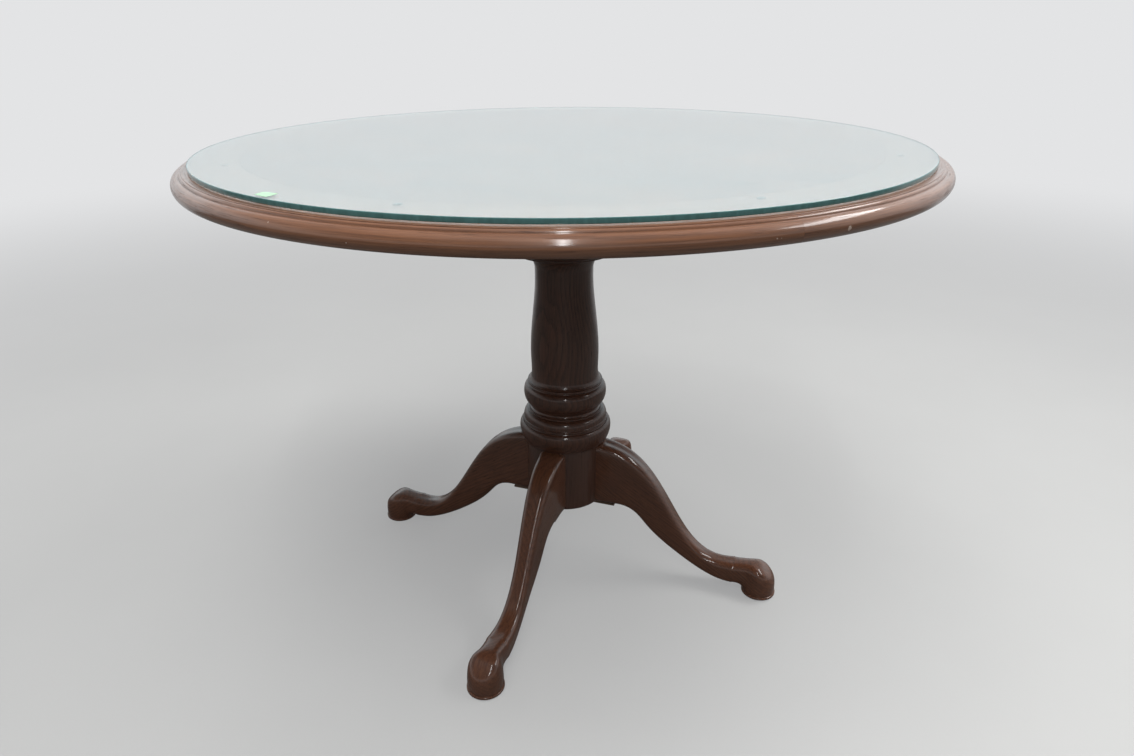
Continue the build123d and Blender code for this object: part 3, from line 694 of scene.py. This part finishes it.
# ---------------------------------------------------------------- screws into the boards
# Zinc-plated wood screws, eight through the battens and four through the block, all sunk
# below the wood. A batten has a screw in the middle of each of the four inner boards.
lows = {name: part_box(name)[0].z / mm for name in ("batten_screws", "block_screws")}
tip_z = 727.0
field_radius, board_count = 447.8, 6
board_pitch = 2 * field_radius / board_count
batten_x, block_screw_offset = 215.0, 103.0
inner_boards = (-1.5, -0.5, 0.5, 1.5)
screw_set("batten_fixings", "batten_screws",
          [(x, k * board_pitch) for x in (-batten_x, batten_x) for k in inner_boards],
          lows["batten_screws"], tip_z)
screw_set("block_fixings", "block_screws",
          [(x, y) for x in (-block_screw_offset, block_screw_offset)
           for y in (-block_screw_offset, block_screw_offset)], lows["block_screws"], tip_z)


# ---------------------------------------------------------------- boards of the top
# Six flat-sawn hardwood boards, glued edge to edge inside the rim, then stained and
# lacquered. Each comes from its own part of the log.
# For each board: metres to the pith, drift of the grain, tone, and the pith's place across.
board_cuts = ((0.045, 0.02, 1.0, 0.02), (0.11, -0.012, 0.86, -0.03), (0.065, 0.03, 1.08, 0.01),
              (0.09, 0.008, 0.92, 0.035), (0.05, -0.024, 1.04, -0.015), (0.13, 0.016, 0.9, 0.0))
# The boards' stain is lighter than the legs': the same stain given more brightness as painted light.
board_light_painted_lit, board_dark = (0.160, 0.067, 0.036), (0.040, 0.0165, 0.0100)
for index, (pith, drift, tone, across) in enumerate(board_cuts):
    name = f"top_board_{index + 1}"
    low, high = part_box(name)
    log = in_log((1, 0.3 * drift, drift), (0, 0, 1), pith,
                 (0.7 * index, (low.y + high.y) / 2 + across, low.z))
    dress(name, stained_wood(f"board wood lighter {index + 1}", log, ring_width=0.0075,
                             light=[part * tone for part in board_light_painted_lit], dark=board_dark,
                             figured=0.75, coat=0.6, shine=0.16, gloss=0.25))


# ---------------------------------------------------------------- rim
# Four shaped hardwood segments, butted between the legs with loose beech tongues. Lip, quirk,
# bead and a bold bullnose are run on the outer edge; a ledge inside carries the boards.
grain_radius, grain_inner, grain_middle = 0.5, 0.45, 0.72


def in_rim(turn, pith, start):
    """Place in the wood of one rim segment, whose grain follows the curve.

    The turn is in degrees, the pith and the start of the grain in metres."""
    def position(tree):
        place = object_place(tree)
        ahead, aside = [dot(tree, place, (cos(radians(turn + more)), sin(radians(turn + more)), 0))
                        for more in (0, 90)]
        angle = maths(tree, "ARCTAN2", aside, ahead)
        reach = maths(tree, "SQRT", maths(tree, "ADD", maths(tree, "MULTIPLY", ahead, ahead),
                                          maths(tree, "MULTIPLY", aside, aside)))
        height = node(tree, "SeparateXYZ", {0: place}).outputs["Z"]
        return node(tree, "CombineXYZ", {
            0: maths(tree, "ADD", reach, pith[0] - grain_inner),
            1: maths(tree, "ADD", height, pith[1] - grain_middle),
            2: maths(tree, "ADD", maths(tree, "MULTIPLY", angle, grain_radius), start)}).outputs[0]
    return position


def chipped(spots):
    """Mask of small chips through the finish: azimuth, radius, height and size in millimetres."""
    def marks(tree):
        place = object_place(tree)
        ragged = levels(tree, noise(tree, place, (700, 700, 700), 3.0)["Fac"], 0.3, 0.7, -0.35, 0.35)
        total = None
        for azimuth, radius, height, size in spots:
            centre = (radius * mm * cos(radians(azimuth)), radius * mm * sin(radians(azimuth)),
                      height * mm)
            away = node(tree, "VectorMath", {0: place, 1: centre},
                        operation="DISTANCE").outputs["Value"]
            edge = maths(tree, "ADD", maths(tree, "DIVIDE", away, size * mm), ragged)
            near = levels(tree, edge, 1.1, 0.85)
            total = near if total is None else maths(tree, "MAXIMUM", total, near)
        return total
    return marks


# The rim's stain is lighter than the legs': the same stain given more brightness as painted light.
rim_light_painted_lit, rim_dark_painted_lit = (0.158, 0.068, 0.033), (0.056, 0.0235, 0.0130)
rim_chips = {
    "right": [(-38.7, 532.7, 715.5, 2.6), (12.0, 532.5, 713.0, 0.9)],
    "front": [(-48.3, 532.6, 715.9, 0.8), (-47.8, 532.6, 715.9, 0.6), (-102.3, 531.0, 724.0, 0.7),
              (-91.8, 532.5, 714.7, 0.6)],
    "left": [(171.0, 531.5, 723.0, 0.7)], "back": [(70.0, 532.5, 716.0, 0.8)]}
board_bore, joint_width = 448.0, 0.1
rim_section = [(board_bore, 733.0, 0.3), (519.0, 733.0, 0.7), (519.0, 732.0, 0),
               (522.4, 732.0, "quarter"), (522.4, 729.0, 0), (522.6, 728.6, 0),
               (532.96, 728.6, "quarter"), (532.96, 717.3, 0), (532.96, 706.0, "quarter"),
               (522.6, 706.0, 0), (436.0, 706.0, 0.6), (436.0, 711.0, 0), (board_bore, 711.0, 0)]
joint_gap = joint_width / board_bore
for order, (side, turn) in enumerate(side_turns.items()):
    bm = bmesh.new()
    outline(bm, rim_section, closed=True, steps=8)
    spun(bm, sweep=90 - joint_gap * 180 / pi, steps=64)
    bmesh.ops.holes_fill(bm, edges=[edge for edge in bm.edges if edge.is_boundary], sides=0)
    bmesh.ops.rotate(bm, cent=(0, 0, 0), matrix=Matrix.Rotation(radians(turn - 45), 3, "Z"),
                     verts=bm.verts[:])
    wood = stained_wood(f"rim wood lighter {side}", in_rim(turn, (0.075, 0.03 + 0.01 * order), 1.7 * order),
                        light=rim_light_painted_lit, dark=rim_dark_painted_lit, coat=0.75, shine=0.11, rough=0.36,
                        gloss=0.25, marks=chipped(rim_chips[side]))
    finished(bm, f"rim_{side}_moulded", [wood], "table", [f"rim_{side}"])
dress("rim_tongues", plain_beech("tongue wood", in_log((1, 1, 0), (0, 0, 1), 0.05)))


# ---------------------------------------------------------------- bumpers
# Eight discs of clear soft vinyl, slightly domed and stuck on the rim, which keep the glass
# off the wood.
material, tree, surface = new_material("clear vinyl")
haze = noise(tree, object_place(tree), (900, 900, 900), 3.0)["Fac"]
vinyl = node(tree, "BsdfPrincipled", {
    "Base Color": mixed_colour(tree, haze, (0.78, 0.79, 0.76, 1), (0.90, 0.91, 0.89, 1)),
    "Roughness": levels(tree, haze, 0.3, 0.7, 0.18, 0.35), "IOR": 1.47, "Transmission Weight": 0.95})
tree.links.new(vinyl.outputs[0], surface)
wood_top, bumper_radius, bumper_height, bumper_reach = 733.0, 5.0, 0.98, 466.0
bm = bmesh.new()
outline(bm, [(0, wood_top, 0), (bumper_radius, wood_top, 0.1),
             (bumper_radius, wood_top + bumper_height - 0.03, 0.7), (0, wood_top + bumper_height, 0)])
spun(bm, steps=32)
copies(bm, round_the_axis(bumper_reach, range(0, 360, 45)))
finished(bm, "bumpers", [material], "table", ["glass_bumpers"])


# ---------------------------------------------------------------- glass cover
# A loose disc of 6 mm float glass. Its faces are clear; the ground and polished edge, seen
# through a great depth of glass, is teal.
glass_radius, glass_low, glass_high, arris = 511.0, 734.0, 739.88, 0.8
material, tree, surface = new_material("clear glass")
place = object_place(tree)
wiped = noise(tree, place, (14, 5, 14), 4.0)["Fac"]
clear = node(tree, "BsdfPrincipled", {"Base Color": (0.94, 0.985, 0.97, 1), "IOR": 1.5,
                                      "Roughness": levels(tree, wiped, 0.45, 0.75, 0.0, 0.035),
                                      "Transmission Weight": 1.0})
shade = node(tree, "BsdfTransparent", {"Color": (0.90, 0.95, 0.94, 1)})
shadow = node(tree, "LightPath").outputs["Is Shadow Ray"]
pane = node(tree, "MixShader", {0: shadow, 1: clear.outputs[0], 2: shade.outputs[0]})
tree.links.new(pane.outputs[0], surface)
clear_glass = material

material, tree, surface = new_material("glass edge")
place = object_place(tree)
rays = noise(tree, place, (160, 160, 30), 3.0)["Fac"]
band = levels(tree, node(tree, "SeparateXYZ", {0: place}).outputs["Z"], glass_low * mm,
              glass_high * mm)
tone = maths(tree, "MULTIPLY", levels(tree, rays, 0.3, 0.7, 0.85, 1.15),
             levels(tree, band, 0, 1, 0.8, 1.2))
edge = node(tree, "BsdfPrincipled", {
    "Base Color": scaled(tree, (0.046, 0.112, 0.108), tone),
    "Roughness": levels(tree, rays, 0.3, 0.7, 0.06, 0.22), "IOR": 1.5,
    "Normal": bumped(tree, rays, 0.1, 0.0002)})
tree.links.new(edge.outputs[0], surface)
teal_edge = material

bm = bmesh.new()
outline(bm, [(0, glass_low, 0), (glass_radius, glass_low, arris), (glass_radius, glass_high, arris),
             (0, glass_high, 0)])
spun(bm, steps=256)
for face in bm.faces:
    face.material_index = int(face.calc_center_median().xy.length > (glass_radius - arris) * mm)
finished(bm, "glass", [clear_glass, teal_edge], "glass", ["glass_top"], crease=25.0)


# ---------------------------------------------------------------- price tab
# A small blank square of light green paper, stuck on the glass near its left front edge. It
# goes up with the glass.
material, tree, surface = new_material("green paper")
fibres = noise(tree, object_place(tree), (1500, 1500, 1500), 4.0)["Fac"]
paper = node(tree, "BsdfPrincipled", {
    "Base Color": mixed_colour(tree, fibres, (0.25, 0.42, 0.27, 1), (0.31, 0.48, 0.33, 1)),
    "Roughness": 0.7, "Normal": bumped(tree, fibres, 0.3, 0.0001)})
tree.links.new(paper.outputs[0], surface)
tab_low, tab_thickness = 739.90, 0.1
tab_corners = [Vector(corner) * mm for corner in
               ((-160.5, -478.0), (-140.6, -484.4), (-139.4, -466.9), (-159.5, -463.9))]
bm = bmesh.new()
bmesh.ops.create_grid(bm, x_segments=6, y_segments=6, size=0.5)
for vert in bm.verts:
    u, v = vert.co.x + 0.5, vert.co.y + 0.5
    near, far = tab_corners[0].lerp(tab_corners[1], u), tab_corners[3].lerp(tab_corners[2], u)
    vert.co = (*near.lerp(far, v), tab_low * mm)
raised = bmesh.ops.extrude_face_region(bm, geom=bm.faces[:])["geom"]
bmesh.ops.translate(bm, vec=(0, 0, tab_thickness * mm), verts=verts_in(raised))
finished(bm, "tab", [material], "glass")
